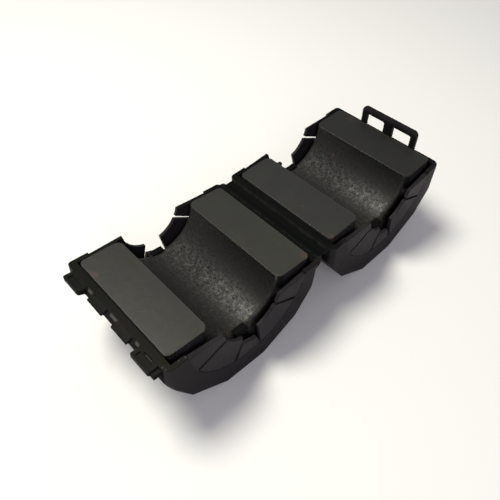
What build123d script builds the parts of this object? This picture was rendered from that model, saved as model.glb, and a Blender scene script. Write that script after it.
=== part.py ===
from build123d import *
import math
import os

os.makedirs("parts", exist_ok=True)

# ---------------------------------------------------------------- dimensions (mm)
CORE_LEN = 40.0          # length of each ferrite half
CORE_RO = 25.7           # outer radius of the ferrite
CORE_RI = 12.6           # bore radius of the ferrite
CORE_GAP = 0.03          # each ferrite face sits this far under the mating plane
CORE_EDGE_R = 1.5        # rounding of the outer end edges
CORE_BORE_R = 2.0        # rounding of the bore's end edges
CORE_X = 0.45            # the ferrites and the hollow they lie in sit this far to the right of the middle of their shells
CORE_Y = 0.35            # and this far behind it

FOLD_DEG = 6.84          # angle between the two mating planes as it lies open
HINGE_X = 30.3           # bore axis to hinge axis
CASE_R = 28.7            # corner radius of the twelve-sided outside
CASE_BASE = 28.2         # bore axis to the flat bottom
CASE_IN = 25.78          # half width across the flats of the inside
END_Y = 22.85            # outer face of the end walls
END_IN = 21.35           # inner face of the end walls
FRONT_R = 2.6            # rounding of the upright corners at the front
BACK_R = 1.3             # and at the back
RIM_Z = -0.9             # top of the rim at sides and corners
RIM_MID_Z = -1.6         # top of the end walls between the corners
RIM_MID_X = 21.2         # half width of that lower stretch

TIP_R = 10.2             # cable fingers: radius of their tips
ROOT_R = 20.7            # cable fingers: radius of their bend line
TIP_OUT = 23.2           # outer face at the tips: the fingers lean outward
TIP_IN = 22.2            # inner face at the tips
SLIT_W = 1.0             # width of the slits between fingers
SLIT_ANG = (13.5, 62.0)  # slit angles each side of the bottom
SHORT_ZL, SHORT_ZR = -13.3, -16.0   # slanted top edge of the short middle finger, left and right end
GROOVE = 0.28            # depth of the score line at the bend

HOOK_X = -0.5            # retaining hook over the ferrite's bore edge
HOOK_W = 4.4
HOOK_TOP = -11.95
HOOK_TIP = 18.45         # nose tip, from the middle of the ferrite

FLANGE_X = 29.4          # hinge flange of each shell reaches this far from the bore axis
FLANGE_Y = 22.05         # half length of the flange on the catch side
WEB_Y = 21.0             # half length of the web and of the flange on the loop side
WEB_T = 0.6              # thickness of the living hinge web
WEB_TOP = -0.95

LOOP_X0, LOOP_X1 = 28.3, 29.7   # latch loop plate
LOOP_Y = 11.7
LOOP_TOP = 5.0
LOOP_ROOT = -6.0
WIN_Y0, WIN_Y1 = 1.9, 9.4       # the loop's two windows
WIN_Z0, WIN_Z1 = -4.2, 2.5

WEDGE_Y0, WEDGE_Y1 = 2.3, 9.0   # catch wedges
WEDGE_X = 29.8
WEDGE_Z = -2.2
PROUD_X = 28.12                 # outer face of the wall between the ears
EAR_X = 30.8                    # guard ears beside the catch
EAR_Y0, EAR_Y1 = 12.2, 19.6
EAR_TOP, EAR_BOT = -1.1, -2.4

CASE_A = CASE_R * math.cos(math.radians(15))


# ---------------------------------------------------------------- helpers
def prism(points, y0, y1):
    """Extrude an x-z outline from y0 to y1."""
    face = Plane.XZ * Polygon(*points, align=None)
    return Pos(0, (y0 + y1) / 2, 0) * extrude(face, amount=(y1 - y0) / 2, both=True)


def block(x0, x1, y0, y1, z0, z1):
    return Pos((x0 + x1) / 2, (y0 + y1) / 2, (z0 + z1) / 2) * Box(x1 - x0, y1 - y0, z1 - z0)


def ring(points):
    """Turn an (r, y) outline about the bore axis."""
    face = Polygon(*points, align=None)
    return revolve(face, axis=Axis.Y)


def twelve(radius, top, base=None):
    """Lower half of a twelve-sided outline, with upright sides up to top."""
    pts = [(radius * math.sin(math.radians(a)), -radius * math.cos(math.radians(a)))
           for a in (-75, -45, -15, 15, 45, 75)]
    if base:
        pts[2], pts[3] = (pts[2][0], -base), (pts[3][0], -base)
    return [(pts[0][0], top)] + pts + [(pts[-1][0], top)]


# ---------------------------------------------------------------- ferrite half
def ferrite(chipped, grow=0.0):
    ri, length = CORE_RI - grow, CORE_LEN + 2 * grow
    face = Pos((ri + CORE_RO) / 2, 0) * Rectangle(CORE_RO - ri, length)
    outer = face.vertices().group_by(Axis.X)[-1]
    face = fillet(outer, CORE_EDGE_R)
    inner = face.vertices().group_by(Axis.X)[0]
    face = fillet(inner, CORE_BORE_R)
    body = revolve(face, axis=Axis.Y)
    body = body & block(-40, 40, -40, 40, -40, -CORE_GAP)
    if chipped:
        # break at the front outer corner of the mating face
        for depth, pts in ((0.7, [(-26.6, -17.9), (-25.75, -18.7), (-25.1, -19.0), (-24.7, -19.35), (-24.1, -19.45),
                                  (-23.3, -19.7), (-22.4, -20.3), (-26.6, -20.6)]),
                           (1.5, [(-26.6, -18.8), (-25.3, -19.3), (-24.9, -19.7), (-23.9, -20.3), (-26.6, -20.6)])):
            chip = Pos(0, 0, -depth) * extrude(Polygon(*pts, align=None), amount=depth + 0.2)
            body = body - Pos(-24, -20, 0) * Rot(-14, 9, 0) * Pos(24, 20, 0) * chip
    return Pos(CORE_X, CORE_Y, 0) * body


# ---------------------------------------------------------------- half shell
def shell():
    outer = prism(twelve(CASE_R, RIM_Z, CASE_BASE), -END_Y, END_Y)
    long_edges = [e for e in outer.edges().filter_by(Axis.Y) if e.center().Z < -2]
    outer = fillet(long_edges, 0.8)
    plan = Rectangle(2 * CASE_A, 2 * END_Y)
    plan = fillet(plan.vertices().group_by(Axis.Y)[0], FRONT_R)
    plan = fillet(plan.vertices().group_by(Axis.Y)[-1], BACK_R)
    outer = outer & (Pos(0, 0, -20) * extrude(plan, amount=30, both=True))
    inside = CASE_IN / math.cos(math.radians(15))
    body = outer - Pos(CORE_X, 0, 0) * prism(twelve(inside, 5), -END_IN, END_IN)
    # lower stretch of both end walls
    body = body - block(-RIM_MID_X, RIM_MID_X, -40, -END_IN + 1, RIM_MID_Z, 5)
    body = body - block(-RIM_MID_X, RIM_MID_X, END_IN - 1, 40, RIM_MID_Z, 5)
    # round opening, then the fingers that lean outward inside it
    body = body - Rot(90, 0, 0) * Cylinder(ROOT_R, 80)
    leaf = ring([(TIP_R, TIP_IN), (ROOT_R + 0.4, END_IN), (ROOT_R + 0.4, END_Y), (ROOT_R, END_Y),
                 (TIP_R, TIP_OUT)])
    leaf = leaf & block(-30, 30, -60, 60, -40, RIM_MID_Z)
    for a in SLIT_ANG:
        for s in (-1, 1):
            cut = block(-SLIT_W / 2, SLIT_W / 2, 10, 40, -(ROOT_R - 0.3), 0)
            leaf = leaf - Rot(0, s * a, 0) * cut
    t = math.tan(math.radians(SLIT_ANG[0]))
    leaf = leaf - prism([(0, 0.5), (SHORT_ZL * t, SHORT_ZL), (-SHORT_ZR * t, SHORT_ZR)], 10, 40)
    body = body + leaf + mirror(leaf, about=Plane.XZ)
    # score line at the fingers' bend, all but the outermost finger of one side
    score = ring([(ROOT_R - 0.3, END_Y + 0.3), (ROOT_R, END_Y - GROOVE), (ROOT_R + 0.3, END_Y + 0.3)])
    score = score & block(-ROOT_R * math.sin(math.radians(SLIT_ANG[1])), 40, 0, 60, -40, RIM_MID_Z - 3)
    body = body - score - mirror(score, about=Plane.XZ)
    # retaining hooks: an upright in the end gap, with a nose over the rounded bore edge, clear of the ferrite
    clear = ferrite(False, 0.06)
    for s in (-1, 1):
        foot = -CASE_IN - 0.5
        pts = [(20.95, foot), (20.95, HOOK_TOP - 0.5), (20.5, HOOK_TOP), (HOOK_TIP + 0.2, HOOK_TOP),
               (HOOK_TIP, HOOK_TOP - 0.15), (HOOK_TIP, -14.0), (19.9, foot)]
        hook = Plane.YZ * Polygon(*[(s * a + CORE_Y, b) for a, b in pts], align=None)
        body = body + (Pos(HOOK_X, 0, 0) * extrude(hook, amount=HOOK_W / 2, both=True) - clear)
    return body


def flange(side, reach_y):
    """Root of the living hinge on the inner side of a shell."""
    pts = [(side * (CASE_A - 1.0), WEB_TOP), (side * FLANGE_X, WEB_TOP), (side * FLANGE_X, -2.2),
           (side * (CASE_A - 0.2), -4.4), (side * (CASE_A - 1.0), -4.4)]
    body = prism(pts, -reach_y, reach_y)
    ends = [e for e in body.edges().filter_by(Axis.Z) if abs(e.center().X) > FLANGE_X - 0.1]
    return fillet(ends, 0.9)


# ---------------------------------------------------------------- catch half, built about its bore
def catch_half():
    # the flange starts inside the wall, clear of the rounded corners' outside
    root = block(CASE_A - 2.2, CASE_A + 5, -FLANGE_Y, FLANGE_Y, -6, 0)
    body = shell() + (flange(1, FLANGE_Y) & root)
    # the wall between the ears stands a little proud, bevelled at the top where the loop's posts come down
    body = body + prism([(-CASE_A + 0.9, RIM_Z - 0.15), (-CASE_A - 0.1, RIM_Z - 0.35), (-PROUD_X, RIM_Z - 0.75), (-PROUD_X, -5.2),
                         (-CASE_A + 0.9, -6.2)], -EAR_Y0 - 0.5, EAR_Y0 + 0.5)
    for s in (-1, 1):
        y0, y1 = sorted((s * WEDGE_Y0, s * WEDGE_Y1))
        wedge = prism([(-CASE_A + 0.9, RIM_Z - 0.02), (-CASE_A - 0.35, RIM_Z - 0.02), (-WEDGE_X, WEDGE_Z + 0.55),
                       (-WEDGE_X, WEDGE_Z), (-CASE_A + 0.9, WEDGE_Z)], y0, y1)
        body = body + wedge
        y0, y1 = sorted((s * EAR_Y0, s * EAR_Y1))
        ear = prism([(-CASE_A + 0.9, EAR_TOP), (-EAR_X, EAR_TOP), (-EAR_X, EAR_BOT), (-CASE_A - 0.9, EAR_BOT - 1.1),
                     (-CASE_A + 0.9, EAR_BOT - 2.0)], y0, y1)
        tips = [e for e in ear.edges().filter_by(Axis.Z) if e.center().X < -EAR_X + 0.1]
        ear = fillet(tips, 0.45)
        # shallow hollow in the ear's top
        ear = ear - block(-EAR_X + 0.75, -CASE_A - 0.75, y0 + 1.2, y1 - 1.2, EAR_TOP - 0.35, 1)
        body = body + ear
    # short slot along the front ear, and the small step past its end
    body = body - block(-CASE_A - 0.5, -CASE_A - 0.1, -17.6, -14.4, EAR_TOP - 0.7, 1)
    body = body + block(-30.1, -CASE_A + 0.9, -20.95, -EAR_Y1 + 0.2, -3.2, -1.7)
    return body


# ---------------------------------------------------------------- loop half, built about its bore
def loop_half():
    body = shell() + flange(-1, WEB_Y)
    root = prism([(CASE_A - 1.2, LOOP_ROOT), (LOOP_X1, LOOP_ROOT), (LOOP_X1, -8.4), (25.2, -11.2), (24.6, -10.4)],
                 -LOOP_Y, LOOP_Y)
    inside = CASE_IN / math.cos(math.radians(15))
    root = root - Pos(CORE_X, 0, 0) * prism(twelve(inside, 5), -END_IN, END_IN)
    return body + root


def loop():
    plate = block(LOOP_X0, LOOP_X1, -LOOP_Y, LOOP_Y, LOOP_ROOT, LOOP_TOP)
    top = [e for e in plate.edges().filter_by(Axis.X) if e.center().Z > 0]
    plate = fillet(top, 1.7)
    for s in (-1, 1):
        y0, y1 = sorted((s * WIN_Y0, s * WIN_Y1))
        win = block(LOOP_X0 - 1, LOOP_X1 + 1, y0, y1, WIN_Z0, WIN_Z1)
        win = fillet(win.edges().filter_by(Axis.X), 0.5)
        plate = plate - win
    # lead-in bevel on the inner side of the top bar
    plate = plate - prism([(LOOP_X0 - 0.1, LOOP_TOP - 1.1), (LOOP_X0 - 0.1, LOOP_TOP + 0.1), (LOOP_X0 + 0.75, LOOP_TOP + 0.1)],
                          -LOOP_Y - 1, LOOP_Y + 1)
    return plate


# ---------------------------------------------------------------- living hinge, about the hinge axis
def web():
    h = math.radians(FOLD_DEG / 2)
    reach = HINGE_X - FLANGE_X
    top, bot = WEB_TOP, WEB_TOP - WEB_T

    def left(u, v):          # u, v in the tilted frame of the catch half, from the hinge axis
        return (math.cos(h) * u + math.sin(h) * v, -math.sin(h) * u + math.cos(h) * v)

    a, b = left(-reach, top), left(-reach, bot)
    pts = [a, (0, top / math.cos(h)), (-a[0], a[1]), (-b[0], b[1]), (0.3, b[1] + 0.14), (-0.3, b[1] + 0.14), b]
    return prism(pts, -WEB_Y, WEB_Y)


# ---------------------------------------------------------------- place everything and write it
half = FOLD_DEG / 2
left_at = Rot(0, half, 0) * Pos(-HINGE_X, 0, 0)
right_at = Rot(0, -half, 0) * Pos(HINGE_X, 0, 0)

parts = {
    "catch_shell": left_at * catch_half(),
    "catch_ferrite": left_at * ferrite(True),
    "loop_shell": right_at * loop_half(),
    "loop_ferrite": right_at * ferrite(False),
    "latch_loop": right_at * loop(),
    "living_hinge": web(),
}

lo = [min(tuple(p.bounding_box().min)[i] for p in parts.values()) for i in range(3)]
hi = [max(tuple(p.bounding_box().max)[i] for p in parts.values()) for i in range(3)]
shift = Pos(-(lo[0] + hi[0]) / 2, -(lo[1] + hi[1]) / 2, -lo[2])
print("box", [round(v, 3) for v in lo], [round(v, 3) for v in hi])
print("hinge axis in the part's frame: x %.4f y %.4f z %.4f" % (-(lo[0] + hi[0]) / 2, -(lo[1] + hi[1]) / 2, -lo[2]))

for name, solid in parts.items():
    moved = shift * solid
    print(name, "solids", len(moved.solids()), "volume", round(moved.volume, 1), "valid", moved.is_valid)
    export_step(moved, "parts/%s.step" % name)
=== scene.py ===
import bpy
import bmesh
import math
from mathutils import Matrix, Vector


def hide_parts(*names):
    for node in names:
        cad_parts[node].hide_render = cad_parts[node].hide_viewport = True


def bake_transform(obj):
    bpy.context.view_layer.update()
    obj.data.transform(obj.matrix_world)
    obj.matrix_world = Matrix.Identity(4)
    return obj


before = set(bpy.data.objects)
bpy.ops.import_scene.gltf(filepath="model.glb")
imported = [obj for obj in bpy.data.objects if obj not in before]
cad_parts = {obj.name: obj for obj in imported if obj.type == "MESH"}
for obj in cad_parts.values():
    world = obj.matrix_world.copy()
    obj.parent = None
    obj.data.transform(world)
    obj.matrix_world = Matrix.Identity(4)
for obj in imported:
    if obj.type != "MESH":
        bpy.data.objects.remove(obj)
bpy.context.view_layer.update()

scene = bpy.context.scene
MM = 0.001

# ---------------------------------------------------------------- the part's own axes
HINGE = Vector((0.0003701, 0.0, 0.0267733))      # hinge axis, along Y
TILT = math.radians(6.84 / 2)                    # each half leans by this
AXIS_OFF = 0.0303                                # bore axis to hinge axis
CORE_X, CORE_Y = 0.00045, 0.00035                # the ferrites' middle lies this far right of and behind the case's middle


def half_frame(side):
    """Rotation and origin of a half's own frame: origin on its bore axis, Z out of the open bore. side -1 is the catch half."""
    rot = Matrix.Rotation(-side * TILT, 3, "Y")
    return rot, HINGE + rot @ Vector((side * AXIS_OFF, 0, 0))


def to_row(side, x, y, z):
    """A point of a half's own frame, in mm, as a point of the row frame, in metres."""
    rot, org = half_frame(side)
    return org + rot @ (Vector((x, y, z)) * MM)


# ---------------------------------------------------------------- camera
AZ, EL, DIST, ROLL = math.radians(-44.51), math.radians(48.97), 3.613, math.radians(1.684)
back = Vector((math.sin(AZ) * math.cos(EL), -math.cos(AZ) * math.cos(EL), math.sin(EL)))
pos = Vector((-0.3956, -0.1628, 0.0)) + back * DIST
across = Vector((0, 0, 1)).cross(back).normalized()
up = back.cross(across)
x_axis = math.cos(ROLL) * across + math.sin(ROLL) * up
y_axis = -math.sin(ROLL) * across + math.cos(ROLL) * up
cam_data = bpy.data.cameras.new("camera")
cam_data.sensor_width = 36.0
cam_data.lens = 36.0 * 493.05 / 500.0
cam_data.clip_start, cam_data.clip_end = 0.01, 20
camera = bpy.data.objects.new("camera", cam_data)
scene.collection.objects.link(camera)
place = Matrix((x_axis, y_axis, back)).transposed().to_4x4()
place.translation = pos * 0.04 + HINGE + Vector((CORE_X, CORE_Y, 0))
camera.matrix_world = place
scene.camera = camera

# ---------------------------------------------------------------- floor and light
scene.view_settings.view_transform = "Standard"
scene.view_settings.look = "None"
world = bpy.data.worlds.new("studio")
world.use_nodes = True
world.node_tree.nodes["Background"].inputs[0].default_value = (0.96, 0.93, 1.0, 1)
world.node_tree.nodes["Background"].inputs[1].default_value = 0.24
scene.world = world


def area(name, at, to, size, power, colour=(1, 1, 1)):
    data = bpy.data.lights.new(name, "AREA")
    data.shape = "DISK"
    data.size = size
    data.energy = power
    data.color = colour
    lamp = bpy.data.objects.new(name, data)
    scene.collection.objects.link(lamp)
    lamp.location = at
    lamp.rotation_mode = "QUATERNION"
    lamp.rotation_quaternion = (Vector(to) - Vector(at)).to_track_quat("-Z", "Y")
    return lamp


area("key", (-0.11, 0.20, 0.54), (0, 0, 0.02), 0.24, 3.0, (1.0, 0.985, 0.86))
area("fill", (-0.36, -0.46, 0.40), (0, 0, 0.01), 0.5, 1.3, (0.98, 0.94, 1.0))
area("low_back", (-0.56, 0.34, 0.15), (-0.05, 0, 0.02), 0.16, 0.08, (1.0, 1.0, 0.98))

mesh = bpy.data.meshes.new("floor")
s = 2.5
mesh.from_pydata([(-s, -s, 0), (s, -s, 0), (s, s, 0), (-s, s, 0)], [], [(0, 1, 2, 3)])
floor = bpy.data.objects.new("floor", mesh)
scene.collection.objects.link(floor)
floor_mat = bpy.data.materials.new("floor")
floor_mat.use_nodes = True
b = floor_mat.node_tree.nodes["Principled BSDF"]
b.inputs["Base Color"].default_value = (0.93, 0.93, 0.93, 1)
b.inputs["Roughness"].default_value = 0.85
b.inputs["Specular IOR Level"].default_value = 0.1
floor.data.materials.append(floor_mat)


# ---------------------------------------------------------------- material helpers
class Mat:
    """A principled material whose texture space is one half's own frame, in mm."""

    def __init__(self, name, side=None, core=False):
        self.m = bpy.data.materials.new(name)
        self.m.use_nodes = True
        self.t = self.m.node_tree
        self.bsdf = self.t.nodes["Principled BSDF"]
        coords = self.add("ShaderNodeTexCoord").outputs["Object"]
        if side is None:
            rot, org = Matrix.Identity(3), HINGE
        else:
            rot, org = half_frame(side)
        p = self.vec("SUBTRACT", coords, tuple(org))
        if side is not None:
            turn = self.add("ShaderNodeVectorRotate", {"Vector": p, "Axis": (0, 1, 0), "Angle": side * TILT},
                            rotation_type="AXIS_ANGLE")
            p = turn.outputs[0]
        scale = self.add("ShaderNodeVectorMath", {0: p, "Scale": 1000.0}, operation="SCALE")
        self.p = scale.outputs[0]
        sep = self.add("ShaderNodeSeparateXYZ", {0: self.p})
        self.x, self.y, self.z = sep.outputs
        if core:
            self.x = self.f("SUBTRACT", self.x, CORE_X * 1000)
            self.y = self.f("SUBTRACT", self.y, CORE_Y * 1000)
            self.p = self.add("ShaderNodeCombineXYZ", {0: self.x, 1: self.y, 2: self.z}).outputs[0]

    def add(self, kind, inputs=None, **props):
        n = self.t.nodes.new(kind)
        for k, v in props.items():
            setattr(n, k, v)
        for k, v in (inputs or {}).items():
            if isinstance(v, bpy.types.NodeSocket):
                self.t.links.new(v, n.inputs[k])
            else:
                n.inputs[k].default_value = v
        return n

    def vec(self, op, a, b):
        return self.add("ShaderNodeVectorMath", {0: a, 1: b}, operation=op).outputs["Value" if op == "DISTANCE" else "Vector"]

    def f(self, op, a, b=0.0, c=0.0):
        return self.add("ShaderNodeMath", {0: a, 1: b, 2: c}, operation=op).outputs[0]

    def noise(self, scale, detail=2.0, rough=0.5, vec=None):
        return self.add("ShaderNodeTexNoise", {"Vector": vec or self.p, "Scale": scale, "Detail": detail,
                                               "Roughness": rough}).outputs["Fac"]

    def map(self, v, a, b, lo=0.0, hi=1.0):
        return self.add("ShaderNodeMapRange", {"Value": v, "From Min": a, "From Max": b, "To Min": lo, "To Max": hi},
                        clamp=True).outputs["Result"]

    def mix(self, fac, a, b, kind="MIX"):
        n = self.add("ShaderNodeMix", data_type="RGBA", blend_type=kind)
        sockets = [s for s in n.inputs if s.enabled]
        for s, v in zip(sockets, (fac, a, b)):
            if isinstance(v, bpy.types.NodeSocket):
                self.t.links.new(v, s)
            else:
                s.default_value = (*v, 1.0) if isinstance(v, tuple) else v
        return [o for o in n.outputs if o.enabled][0]

    def spot(self, x, y, radius, soft, warp=0.0, stretch=(1.0, 1.0), turn=0.0, field=None):
        """1 inside a blot round (x, y) of the mating plane, 0 outside it, with a ragged edge."""
        flat = self.add("ShaderNodeCombineXYZ", {0: self.x, 1: self.y, 2: 0.0}).outputs[0]
        m = self.add("ShaderNodeMapping", {"Vector": flat, "Location": (x, y, 0.0), "Rotation": (0, 0, turn),
                                           "Scale": (stretch[0], stretch[1], 1.0)}, vector_type="TEXTURE")
        d = self.add("ShaderNodeVectorMath", {0: m.outputs[0]}, operation="LENGTH").outputs["Value"]
        if warp:
            d = self.f("ADD", d, self.f("MULTIPLY", self.f("SUBTRACT", field or self.noise(0.9, 3.0, 0.6), 0.5), warp))
        return self.map(d, radius, radius + soft, 1.0, 0.0)

    def set(self, name, v):
        s = self.bsdf.inputs[name]
        if isinstance(v, bpy.types.NodeSocket):
            self.t.links.new(v, s)
        else:
            s.default_value = (*v, 1.0) if isinstance(v, tuple) else v

    def bump(self, height, strength, mm, edge=0.0):
        n = self.add("ShaderNodeBump", {"Height": height, "Strength": strength, "Distance": mm * MM})
        if edge:
            soft = self.add("ShaderNodeBevel", {"Radius": edge * MM}, samples=6)
            self.t.links.new(soft.outputs[0], n.inputs["Normal"])
        self.t.links.new(n.outputs[0], self.bsdf.inputs["Normal"])


# ---------------------------------------------------------------- ferrite
def ferrite_material(name, side, stains, specks, pale_highlights_and_red_marks, painted_light_across=(1.0, 1.0), painted_light_front_back=(1.0, 1.0), warm=(1.0, 1.0, 1.0)):
    m = Mat(name, side, core=True)
    r = m.f("SQRT", m.f("ADD", m.f("MULTIPLY", m.x, m.x), m.f("MULTIPLY", m.z, m.z)))
    face = m.map(m.z, -0.12, -0.06)                        # ground mating faces
    bore = m.f("MULTIPLY", m.map(r, 14.4, 15.0, 1.0, 0.0), m.map(m.z, -0.25, -0.12, 1.0, 0.0))
    broad = m.noise(0.11, 3.0, 0.55)
    mottle = m.noise(0.55, 4.0, 0.62)
    grain = m.noise(3.4, 3.0, 0.7)
    field = m.noise(0.9, 3.0, 0.6)

    ground = m.mix(m.map(broad, 0.3, 0.7), (0.0275, 0.0268, 0.0266), (0.0335, 0.0333, 0.0305))
    ground = m.mix(m.map(mottle, 0.35, 0.70), ground, m.mix(1.0, ground, (1.22, 1.22, 1.18), "MULTIPLY"))
    ground = m.mix(m.map(grain, 0.60, 0.74), ground, (0.044, 0.044, 0.040))
    ground = m.mix(m.f("MULTIPLY", m.map(grain, 0.40, 0.28), 0.7), ground, (0.018, 0.0172, 0.018))

    # painted light and shade on the two faces: colour scaled inner to the hinge or outer, and front to back, times a
    # colour tint
    out = m.map(m.x, -14.0, 14.0)
    shade = m.f("MULTIPLY", m.map(out, 0.0, 1.0, painted_light_across[0], painted_light_across[1]), m.map(m.y, -18.0, 18.0, painted_light_front_back[0], painted_light_front_back[1]))
    grey = m.vec("MULTIPLY", m.add("ShaderNodeCombineXYZ", {0: shade, 1: shade, 2: shade}).outputs[0], warm)
    ground = m.mix(1.0, ground, grey, "MULTIPLY")

    # unground bore: dark skin with pale blotches and pits
    blotch = m.noise(0.80, 4.0, 0.66)
    pits = m.noise(1.35, 3.0, 0.55)
    inner = m.mix(m.map(mottle, 0.35, 0.68), (0.0062, 0.0058, 0.0064), (0.0125, 0.0118, 0.0122))
    inner = m.mix(m.map(blotch, 0.50, 0.62), inner, (0.0330, 0.0318, 0.0200))
    inner = m.mix(m.map(grain, 0.58, 0.72, 0.0, 0.7), inner, (0.0340, 0.0328, 0.0220))
    inner = m.mix(m.map(pits, 0.44, 0.38), inner, (0.0035, 0.0033, 0.0035))
    # painted shade: the bore's skin darkened towards the back and up both sides, away from the lit band along its
    # bottom
    painted_bore_shade = m.f("MULTIPLY", m.map(m.y, -16.0, 4.0, 1.0, 0.38), m.f("MULTIPLY", m.map(m.x, -10.5, -7.0, 0.55, 1.0), m.map(m.x, 3.0, 9.0, 1.0, 0.5)))
    dim = m.add("ShaderNodeCombineXYZ", {0: painted_bore_shade, 1: painted_bore_shade, 2: painted_bore_shade}).outputs[0]
    inner = m.mix(1.0, inner, dim, "MULTIPLY")
    raw = m.mix(m.map(mottle, 0.35, 0.68), (0.027, 0.0255, 0.029), (0.042, 0.040, 0.045))
    raw = m.mix(m.map(grain, 0.56, 0.66, 0.0, 0.6), raw, (0.070, 0.068, 0.070))
    raw = m.mix(m.map(grain, 0.44, 0.36, 0.0, 0.7), raw, (0.010, 0.0095, 0.011))
    colour = m.mix(bore, raw, inner)
    colour = m.mix(face, colour, ground)

    # pale ground arris along the faces' long edges
    arris = m.f("MAXIMUM", m.map(m.f("ABSOLUTE", m.f("SUBTRACT", r, 25.62)), 0.05, 0.22, 1.0, 0.0),
                m.map(m.f("ABSOLUTE", m.f("SUBTRACT", r, 12.66)), 0.05, 0.2, 1.0, 0.0))
    arris = m.f("MULTIPLY", m.f("MULTIPLY", arris, face), m.map(mottle, 0.35, 0.6, 0.25, 0.8))
    colour = m.mix(arris, colour, (0.050, 0.049, 0.046))

    for x, y, rad, soft, warp, amount, tint, stretch, turn in stains:
        blot = m.spot(x, y, rad, soft, warp, stretch, turn, field)
        colour = m.mix(m.f("MULTIPLY", m.f("MULTIPLY", blot, amount), m.map(m.z, -1.6, -0.9)), colour, tint)
    for x, y, rad, tint in specks:
        colour = m.mix(m.f("MULTIPLY", m.spot(x, y, rad, rad * 0.8), 0.85), colour, tint)
    # round marks: the pale ones are painted highlights on the front edge of the bore, the reddish one a real mark
    for x, y, z, rad, tint, amount in pale_highlights_and_red_marks:
        d = m.vec("DISTANCE", m.p, (x, y, z))
        d = m.f("ADD", d, m.f("MULTIPLY", m.f("SUBTRACT", field, 0.5), rad))
        colour = m.mix(m.f("MULTIPLY", m.map(d, rad * 0.4, rad, 1.0, 0.0), amount), colour, tint)
    m.set("Base Color", colour)

    rough_face = m.map(mottle, 0.3, 0.7, 0.42, 0.34)
    rough_bore = m.f("ADD", m.f("ADD", m.map(blotch, 0.42, 0.60, 0.58, 0.40), m.map(pits, 0.44, 0.38, 0.0, 0.22)),
                   m.f("ADD", m.map(m.y, -15.0, 4.0, 0.0, 0.19), m.map(m.x, -10.5, -7.0, 0.16, 0.0)))
    m.set("Roughness", m.f("ADD", m.f("MULTIPLY", rough_face, m.f("SUBTRACT", 1.0, bore)), m.f("MULTIPLY", rough_bore, bore)))
    m.set("IOR", 1.52)
    height = m.f("ADD", m.f("MULTIPLY", grain, m.f("ADD", m.f("MULTIPLY", bore, 1.6), 0.5)), m.f("MULTIPLY", mottle, 0.8))
    height = m.f("ADD", height, m.f("MULTIPLY", m.f("MULTIPLY", blotch, bore), 1.6))
    m.bump(height, 0.60, 0.045, 0.12)
    return m.m


OCHRE, RUST, BROWN = (0.075, 0.045, 0.030), (0.055, 0.024, 0.014), (0.032, 0.018, 0.012)
ferrite_left = ferrite_material(
    "ferrite_catch_side", -1,
    [(-24.9, 13.4, 0.3, 1.1, 2.0, 0.55, (0.080, 0.042, 0.036), (0.8, 1.7), 0.1),
     (24.8, -18.7, 0.4, 1.3, 1.8, 0.50, OCHRE, (1.2, 1.0), 0.5),
     (25.5, -19.5, 0.15, 0.6, 0.9, 0.60, BROWN, (1.0, 1.0), 0.0),
     (22.3, -19.9, 0.15, 0.8, 1.0, 0.40, BROWN, (1.8, 0.5), 0.3)],
    [(-25.0, -19.35, 0.42, (0.004, 0.004, 0.004)), (-24.2, -19.75, 0.26, (0.004, 0.004, 0.004)),
     (-23.3, -19.95, 0.20, (0.006, 0.006, 0.006)), (12.9, -18.9, 0.16, (0.10, 0.10, 0.09)), (20.4, 3.1, 0.12, (0.006, 0.006, 0.006)),
     (-19.3, -7.2, 0.13, (0.008, 0.008, 0.007)), (16.6, 11.4, 0.12, (0.05, 0.05, 0.045)),
     (-17.1, 6.3, 0.12, (0.05, 0.05, 0.045))],
    # painted highlights: pale spots at the front edge of the bore, near its bottom
    [(2.7, -18.4, -13.0, 0.45, (0.10, 0.10, 0.09), 0.8), (5.7, -19.2, -12.6, 0.35, (0.09, 0.09, 0.08), 0.7)],
    (0.66, 0.86), (1.10, 0.84), (0.98, 1.01, 0.90))
ferrite_right = ferrite_material(
    "ferrite_loop_side", 1,
    [(-24.7, -19.2, 0.3, 0.9, 1.5, 0.42, OCHRE, (1.3, 1.0), 0.5),
     (-24.9, -19.8, 0.12, 0.45, 0.7, 0.75, RUST, (1.6, 0.6), 0.4),
     (23.9, 13.5, 0.3, 1.0, 1.6, 0.28, OCHRE, (1.0, 1.5), -0.2)],
    [(-21.3, -4.7, 0.14, (0.07, 0.07, 0.065)), (18.1, -6.0, 0.13, (0.007, 0.007, 0.007)),
     (-16.4, 9.8, 0.12, (0.05, 0.05, 0.045))],
    [(10.57, 9.43, -6.85, 0.9, (0.060, 0.022, 0.017), 0.5)],
    (0.59, 0.37), (1.06, 0.90), (0.99, 1.02, 0.99))


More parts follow.
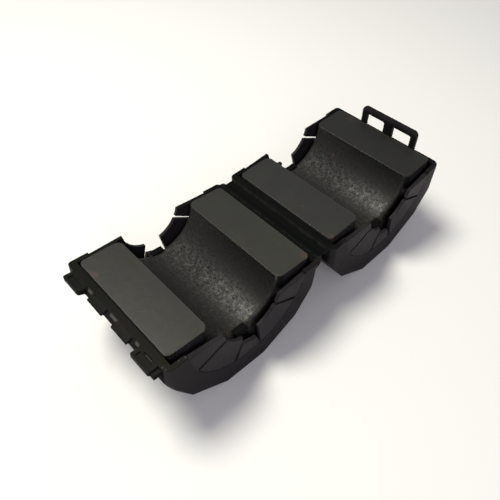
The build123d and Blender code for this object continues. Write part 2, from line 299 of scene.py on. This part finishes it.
# ---------------------------------------------------------------- moulded nylon
def nylon_material(name, side, dust=(), glints=(), painted_top_colours=((0.0030, 0.0034, 0.0030), (0.0030, 0.0034, 0.0030)), fleck_amount=0.45):
    m = Mat(name, side)
    r = m.f("SQRT", m.f("ADD", m.f("MULTIPLY", m.x, m.x), m.f("MULTIPLY", m.z, m.z)))
    broad = m.noise(0.09, 3.0, 0.55)
    mottle = m.noise(0.5, 4.0, 0.6)
    grain = m.noise(6.0, 2.0, 0.6)
    base = m.mix(m.map(broad, 0.32, 0.68), (0.0094, 0.0083, 0.0098), (0.0136, 0.0121, 0.0138))
    base = m.mix(m.map(mottle, 0.45, 0.75), base, (0.0165, 0.0152, 0.0160))
    # painted light: the thin fingers of the end walls are a little paler, standing in for light reaching them
    painted_finger_light = m.f("MULTIPLY", m.map(r, 20.5, 20.9, 1.0, 0.0), m.map(m.f("ABSOLUTE", m.y), 21.2, 21.5))
    base = m.mix(painted_finger_light, base, m.mix(1.0, base, (1.80, 1.80, 1.80), "MULTIPLY"))
    hook = m.f("MULTIPLY", m.map(r, 15.6, 16.0, 1.0, 0.0), m.map(m.f("ABSOLUTE", m.x), 3.2, 3.5, 1.0, 0.0))
    hook = m.f("MULTIPLY", hook, m.map(m.f("ABSOLUTE", m.y), 21.3, 21.6, 1.0, 0.0))
    base = m.mix(hook, base, (0.0042, 0.0046, 0.0044))
    # painted light and shade on what faces up: lighter to the front, darker to the back and towards the hinge; dust
    # flecks on it
    normal = m.add("ShaderNodeVectorRotate", {"Vector": m.add("ShaderNodeTexCoord").outputs["Normal"], "Axis": (0, 1, 0),
                                              "Angle": (side or 0) * TILT}, rotation_type="AXIS_ANGLE").outputs[0]
    up_facing = m.map(m.add("ShaderNodeSeparateXYZ", {0: normal}).outputs[2], 0.6, 0.95)
    lip = m.map(m.y, -21.3, -20.8, m.map(m.x, -23.5, -21.5, 0.8, 0.12), 1.0)
    lip = m.f("MULTIPLY", lip, m.map(m.z, -8.0, -6.0))
    painted_top_light = m.f("MULTIPLY", m.f("MULTIPLY", up_facing, lip), m.map(mottle, 0.38, 0.66, 0.80, 1.0))
    tint = m.mix(m.map(m.y, -20.0, 12.0), painted_top_colours[0], painted_top_colours[1])
    if side:
        tint = m.mix(m.map(m.x, -side * 21.0, -side * 24.5), tint, (0.0024, 0.0031, 0.0028))
    base = m.mix(painted_top_light, base, tint)
    cells = m.add("ShaderNodeTexVoronoi", {"Vector": m.p, "Scale": 0.62, "Randomness": 1.0}, feature="F1")
    pick = m.add("ShaderNodeSeparateXYZ", {0: cells.outputs["Color"]}).outputs[0]
    size = m.map(pick, 0.66, 1.0, 0.0, 0.080)
    fleck = m.f("MULTIPLY", m.f("LESS_THAN", cells.outputs["Distance"], size), up_facing)
    base = m.mix(m.f("MULTIPLY", fleck, fleck_amount), base, (0.050, 0.049, 0.044))
    # rubbed edges of the rim
    edge = m.f("MULTIPLY", m.map(m.f("ABSOLUTE", m.x), 27.35, 27.7), m.map(m.z, -1.5, -1.0))
    edge = m.f("MULTIPLY", edge, m.map(mottle, 0.42, 0.66, 0.0, 0.6))
    base = m.mix(edge, base, (0.0150, 0.0146, 0.0135))
    rough = m.map(mottle, 0.3, 0.72, 0.40, 0.54)
    # the flat sides are duller than the rest, and their colour is darkened as painted shade
    dull_shaded_flank = m.f("MULTIPLY", m.map(m.f("ABSOLUTE", m.x), 27.4, 27.6), m.map(m.z, -1.9, -1.6, 1.0, 0.0))
    base = m.mix(m.f("MULTIPLY", dull_shaded_flank, m.f("SUBTRACT", 1.0, up_facing)), base, (0.0054, 0.0050, 0.0055))
    rough = m.f("ADD", rough, m.f("MULTIPLY", dull_shaded_flank, 0.40))
    # painted highlights: pale, less rough patches where the rim's edge catches the light
    for x, y, z, half_y, half_x, amount in glints:
        d = m.f("MAXIMUM", m.f("SUBTRACT", m.f("ABSOLUTE", m.f("SUBTRACT", m.y, y)), half_y),
                m.f("MAXIMUM", m.f("SUBTRACT", m.f("ABSOLUTE", m.f("SUBTRACT", m.x, x)), half_x),
                    m.f("SUBTRACT", m.f("ABSOLUTE", m.f("SUBTRACT", m.z, z)), 0.45)))
        d = m.f("ADD", d, m.f("MULTIPLY", m.f("SUBTRACT", grain, 0.5), 0.3))
        patch = m.f("MULTIPLY", m.map(d, -0.12, 0.12, 1.0, 0.0), amount)
        base = m.mix(patch, base, (0.090, 0.090, 0.082))
        rough = m.f("SUBTRACT", rough, m.f("MULTIPLY", patch, 0.12))
    for x, y, z, rad, amount in dust:
        d = m.vec("DISTANCE", m.p, (x, y, z))
        base = m.mix(m.f("MULTIPLY", m.map(d, rad * 0.5, rad, 1.0, 0.0), amount), base, (0.12, 0.12, 0.11))
    m.set("Base Color", base)
    m.set("Roughness", rough)
    m.set("IOR", 1.5)
    m.set("Specular IOR Level", 0.05)
    m.bump(m.f("ADD", grain, m.f("MULTIPLY", mottle, 0.9)), 0.35, 0.02, 0.28)
    return m.m


# per side: dust, painted highlights on the rim edge, and painted light on up-facing surfaces, front and back
nylon_left = nylon_material("nylon_catch_side", -1, [(-21.4, -22.0, -1.0, 0.34, 0.55), (-23.2, -21.7, -0.9, 0.26, 0.4),
                                                    (-27.2, -20.6, -0.9, 0.30, 0.5), (-27.0, -21.6, -0.9, 0.26, 0.45)],
                            [(-27.9, 10.3, -1.3, 1.0, 0.3, 0.8), (-27.9, -0.9, -1.3, 1.6, 0.3, 0.8),
                             (-27.9, -11.2, -1.3, 0.7, 0.3, 0.8), (-28.0, -16.0, -1.85, 1.7, 0.25, 0.95)],
                            ((0.0125, 0.0125, 0.0098), (0.0072, 0.0076, 0.0060)))
nylon_right = nylon_material("nylon_loop_side", 1, painted_top_colours=((0.0046, 0.0046, 0.0044), (0.0026, 0.0029, 0.0026)))
nylon_web = nylon_material("nylon_hinge", None, painted_top_colours=((0.0022, 0.0030, 0.0027), (0.0022, 0.0030, 0.0027)), fleck_amount=0.3)


# ---------------------------------------------------------------- the CAD's own nodes
for n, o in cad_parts.items():
    o.data.materials.clear()
    left_side = n.startswith("catch")
    if "ferrite" in n:
        o.data.materials.append(ferrite_left if left_side else ferrite_right)
    else:
        o.data.materials.append(nylon_left if left_side else nylon_right)


# ---------------------------------------------------------------- pieces made here
def new_piece(name, bm, material):
    me = bpy.data.meshes.new(name)
    bm.normal_update()
    bm.to_mesh(me)
    bm.free()
    ob = bpy.data.objects.new(name, me)
    scene.collection.objects.link(ob)
    me.materials.append(material)
    return ob


def living_hinge():
    """A thin web between the two flanges: flush on top, necked underneath, finely stepped across."""
    reach, top, thick, neck, half_y = 2.4, -0.95, 0.6, 0.34, 21.0
    steps = 36
    section_top, section_bot = [], []
    for i in range(steps + 1):
        u = -reach + 2 * reach * i / steps
        side = -1 if u < 0 else 1
        # distance from the fold line, laid along each half's own plane
        xx = math.cos(TILT) * u
        zz = math.sin(TILT) * abs(u)
        z0 = zz + top / math.cos(TILT) + 0.02 - 0.06 * max(0.0, (abs(u) - 1.4) / 1.0)      # its edges sink into the flanges
        t = thick - (thick - neck) * math.exp(-(u / 0.42) ** 2)
        section_top.append((xx, z0))
        section_bot.append((xx, z0 - t))
    outline = section_top + section_bot[::-1]
    bm = bmesh.new()
    rows = []
    ys = [-half_y, -half_y + 0.07, -half_y + 0.25] + [-half_y + 0.25 + (2 * half_y - 0.5) * k / 14 for k in range(1, 14)] + \
         [half_y - 0.25, half_y - 0.07, half_y]
    cx = 0.0
    cz = sum(p[1] for p in outline) / len(outline)
    for y in ys:
        edge = half_y - abs(y)
        shrink = 0.18 if edge < 0.01 else (0.05 if edge < 0.1 else 0.0)
        row = []
        for x, z in outline:
            zc = z + (cz - z) * shrink
            row.append(bm.verts.new(HINGE + Vector((x, y, zc)) * MM))
        rows.append(row)
    n = len(outline)
    for a, c in zip(rows, rows[1:]):
        for i in range(n):
            bm.faces.new((a[i], a[(i + 1) % n], c[(i + 1) % n], c[i]))
    bm.faces.new(rows[0][::-1])
    bm.faces.new(rows[-1])
    bmesh.ops.recalc_face_normals(bm, faces=bm.faces)
    ob = new_piece("hinge_web", bm, nylon_web)
    for p in ob.data.polygons:
        p.use_smooth = True
    ob.data.set_sharp_from_angle(angle=math.radians(40))
    return ob


def rounded(points, radii, steps=5):
    """A closed outline with each corner rounded."""
    out = []
    n = len(points)
    for i, (p, r) in enumerate(zip(points, radii)):
        p = Vector(p)
        if r <= 0:
            out.append(p)
            continue
        a, c = Vector(points[i - 1]), Vector(points[(i + 1) % n])
        da, dc = (a - p).normalized(), (c - p).normalized()
        half = math.acos(max(-1, min(1, da.dot(dc)))) / 2
        off = r / math.tan(half)
        mid = p + (da + dc).normalized() * (r / math.sin(half))
        s0, s1 = p + da * off - mid, p + dc * off - mid
        ang0, ang1 = math.atan2(s0.y, s0.x), math.atan2(s1.y, s1.x)
        turn = (ang1 - ang0 + math.pi) % (2 * math.pi) - math.pi
        for k in range(steps + 1):
            t = ang0 + turn * k / steps
            out.append(mid + Vector((math.cos(t), math.sin(t))) * r)
    return out


def latch_loop():
    """The latch plate: a two-window bail with soft edges, one piece down into its root."""
    x0, x1, half_y, top, root = 28.3, 29.7, 11.7, 5.0, -6.0
    soft = 0.22
    cu = bpy.data.curves.new("plate", "CURVE")
    cu.dimensions = "2D"
    cu.fill_mode = "BOTH"
    cu.extrude = ((x1 - x0) / 2 - soft)
    cu.bevel_depth = soft
    cu.bevel_resolution = 2
    loops = [rounded([(-half_y, root), (half_y, root), (half_y, top), (-half_y, top)], [0, 0, 1.7, 1.7])]
    for s in (-1, 1):
        a, c = sorted((s * 1.9, s * 9.4))
        loops.append(rounded([(a, -4.2), (c, -4.2), (c, 2.5), (a, 2.5)], [0.6] * 4, 4))
    for k, pts in enumerate(loops):
        sp = cu.splines.new("POLY")
        sp.points.add(len(pts) - 1)
        for q, p in zip(sp.points, pts):
            q.co = (p.x, p.y, 0, 1)
        sp.use_cyclic_u = True
    cu.offset = -soft
    tmp = bpy.data.objects.new("plate", cu)
    me = bpy.data.meshes.new_from_object(tmp)
    bm = bmesh.new()
    bm.from_mesh(me)
    bpy.data.objects.remove(tmp)
    bpy.data.curves.remove(cu)
    bpy.data.meshes.remove(me)
    bmesh.ops.remove_doubles(bm, verts=bm.verts, dist=1e-4)
    for z in [-5.7, -5.4, -5.1, -4.8, -4.5, -3.6, -2.8, -1.6, -0.4, 0.8, 3.0, 3.6, 4.2]:
        bmesh.ops.bisect_plane(bm, geom=bm.verts[:] + bm.edges[:] + bm.faces[:], plane_co=(0, z, 0), plane_no=(0, 1, 0), dist=1e-5)
    # plate lies in (y, z); its thickness runs along x
    for v in bm.verts:
        y, z, t = v.co
        x = (x0 + x1) / 2 + t
        if t < 0 and z > 3.8:
            x += 0.62 * min(1.0, (z - 3.8) / 1.1) * min(1.0, -t / 0.4)       # lead-in slope
        v.co = to_row(1, x, y, z)
    bmesh.ops.recalc_face_normals(bm, faces=bm.faces)
    ob = new_piece("latch_bail", bm, nylon_right)
    for p in ob.data.polygons:
        p.use_smooth = True
    ob.data.set_sharp_from_angle(angle=math.radians(35))
    return ob


web = living_hinge()
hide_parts("living_hinge")
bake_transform(web)

bail = latch_loop()
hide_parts("latch_loop")
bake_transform(bail)
